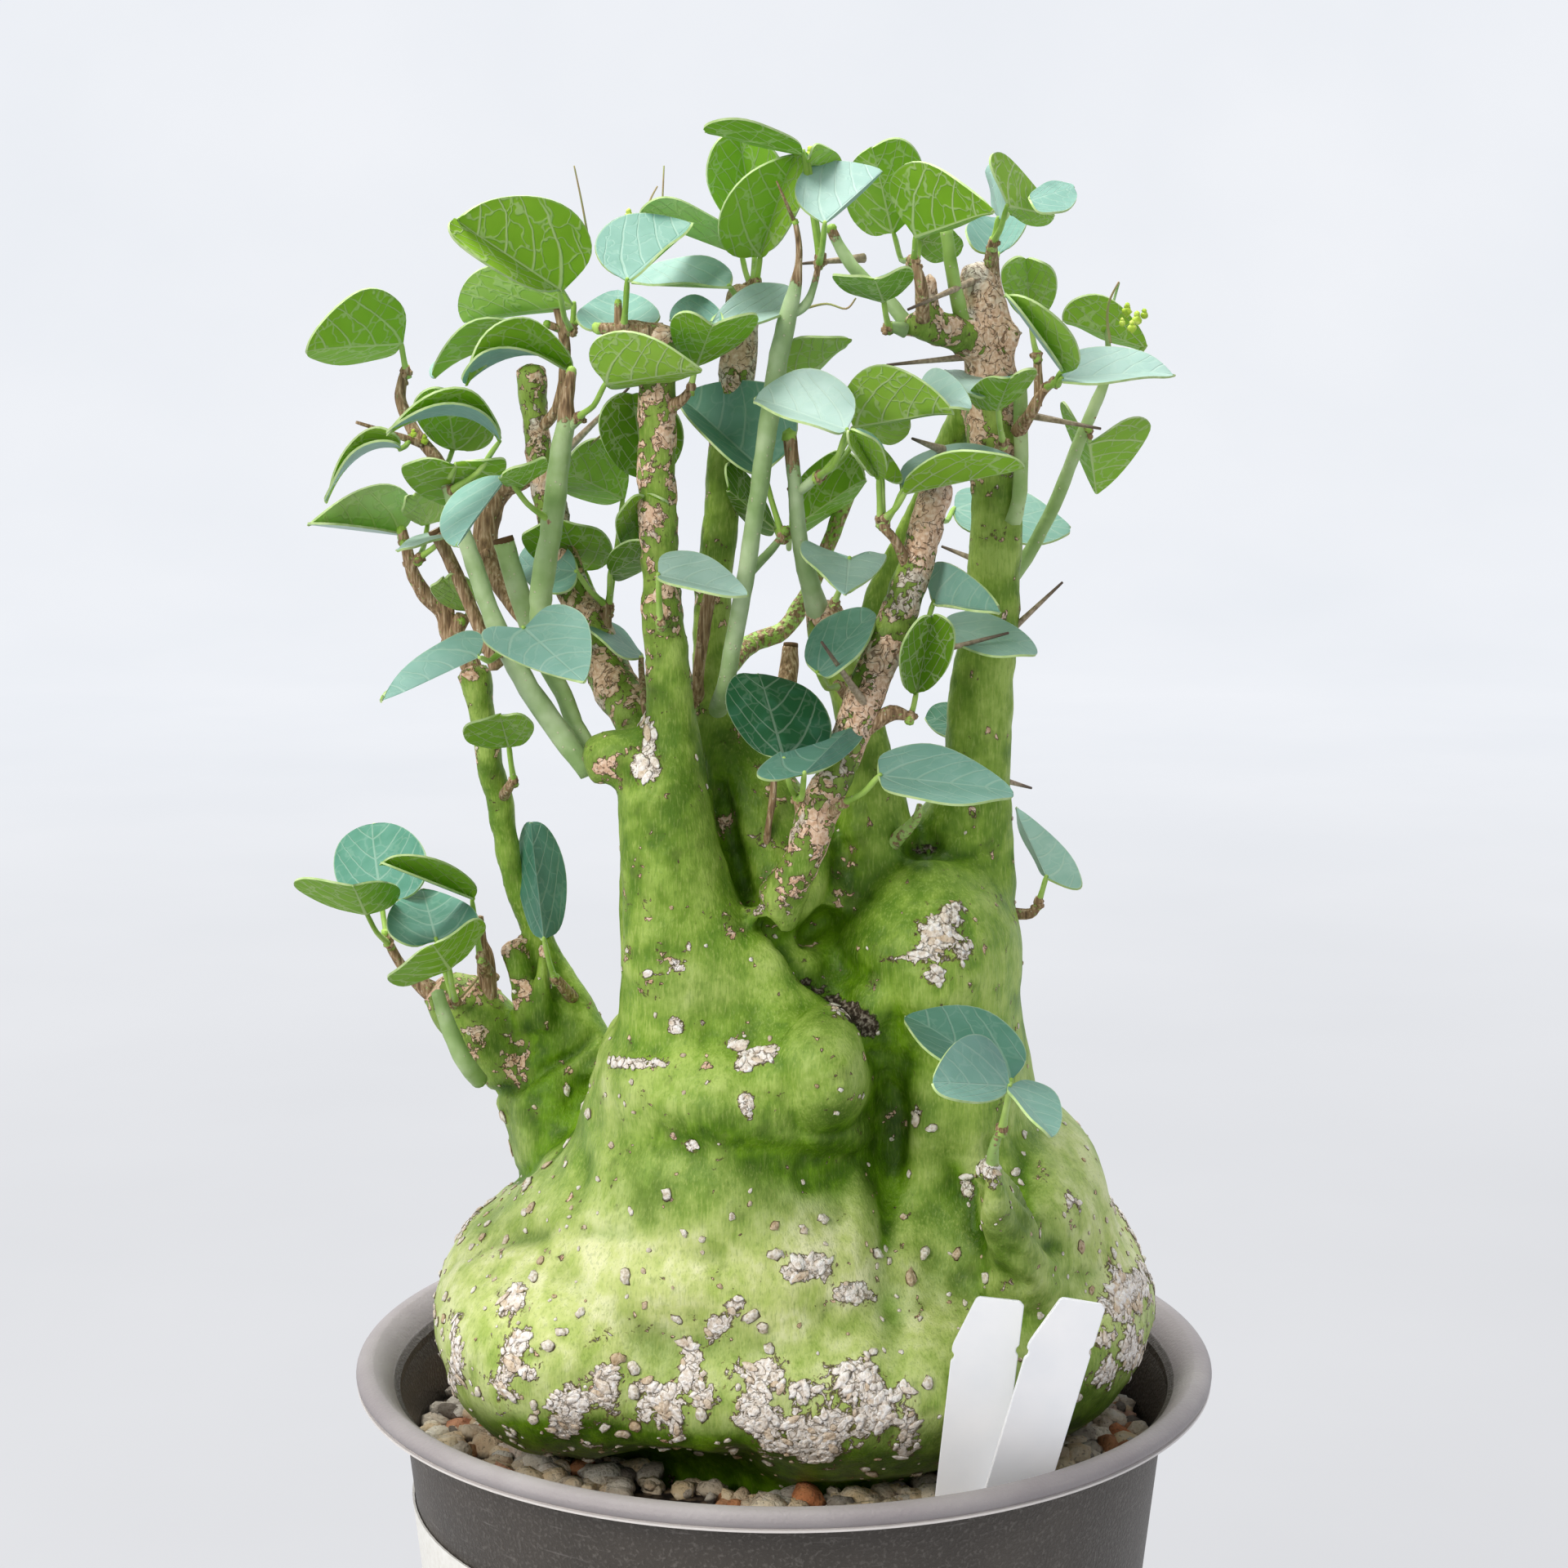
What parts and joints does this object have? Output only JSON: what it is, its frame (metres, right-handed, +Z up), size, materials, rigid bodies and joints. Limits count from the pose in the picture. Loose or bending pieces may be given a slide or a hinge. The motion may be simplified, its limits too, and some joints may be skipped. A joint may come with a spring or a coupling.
{
  "type": "potted caudex plant",
  "caption": "Swollen-stemmed succulent with forked green trunks, round blue-green leaves and spines, in a round plastic pot of pumice grit with two blank labels.",
  "frame": {"origin": "centre of the pot's underside", "axes": "+Z up along the pot's axis; +X to the right and -Y towards a viewer who faces the plant's front, the side with the labels"},
  "size_m": [0.2527, 0.2516, 0.5286],
  "materials": {
    "pot_plastic": "fine matt grain",
    "pumice_grit": null,
    "green_bark": "smooth green living bark with cork patches",
    "leaf": null,
    "label_plastic": "smooth, blank",
    "sticker_paper": null
  },
  "bodies": {
    "root": {"caudex": "green_bark", "grit": "pumice_grit", "label_left": "label_plastic", "label_right": "label_plastic", "pot": "pot_plastic", "pot_sticker": "sticker_paper", "spray_arm": "leaf", "spray_arm_tip": "leaf", "spray_bark_front": "leaf", "spray_bark_side": "leaf", "spray_bark_stub": "leaf", "spray_bark_twig": "leaf", "spray_blue_bark": "leaf", "spray_blue_left": "leaf", "spray_far_left": "leaf", "spray_far_left_low": "leaf", "spray_front_crown": "leaf", "spray_front_fold": "leaf", "spray_front_pair": "leaf", "spray_front_shoot": "leaf", "spray_inner_fold": "leaf", "spray_knob": "leaf", "spray_knob_low": "leaf", "spray_left_crown": "leaf", "spray_left_inner": "leaf", "spray_low_inner": "leaf", "spray_low_knob": "leaf", "spray_low_left": "leaf", "spray_low_right": "leaf", "spray_middle_crown": "leaf", "spray_rear_right": "leaf", "spray_right_crown": "leaf", "spray_right_flank": "leaf", "spray_right_front": "leaf", "spray_right_rear_low": "leaf", "spray_right_shoot": "leaf", "spray_right_twig": "leaf", "spray_trunk_front": "leaf", "spray_trunk_left": "leaf", "spray_trunk_rear": "leaf"}
  },
  "joints": []
}
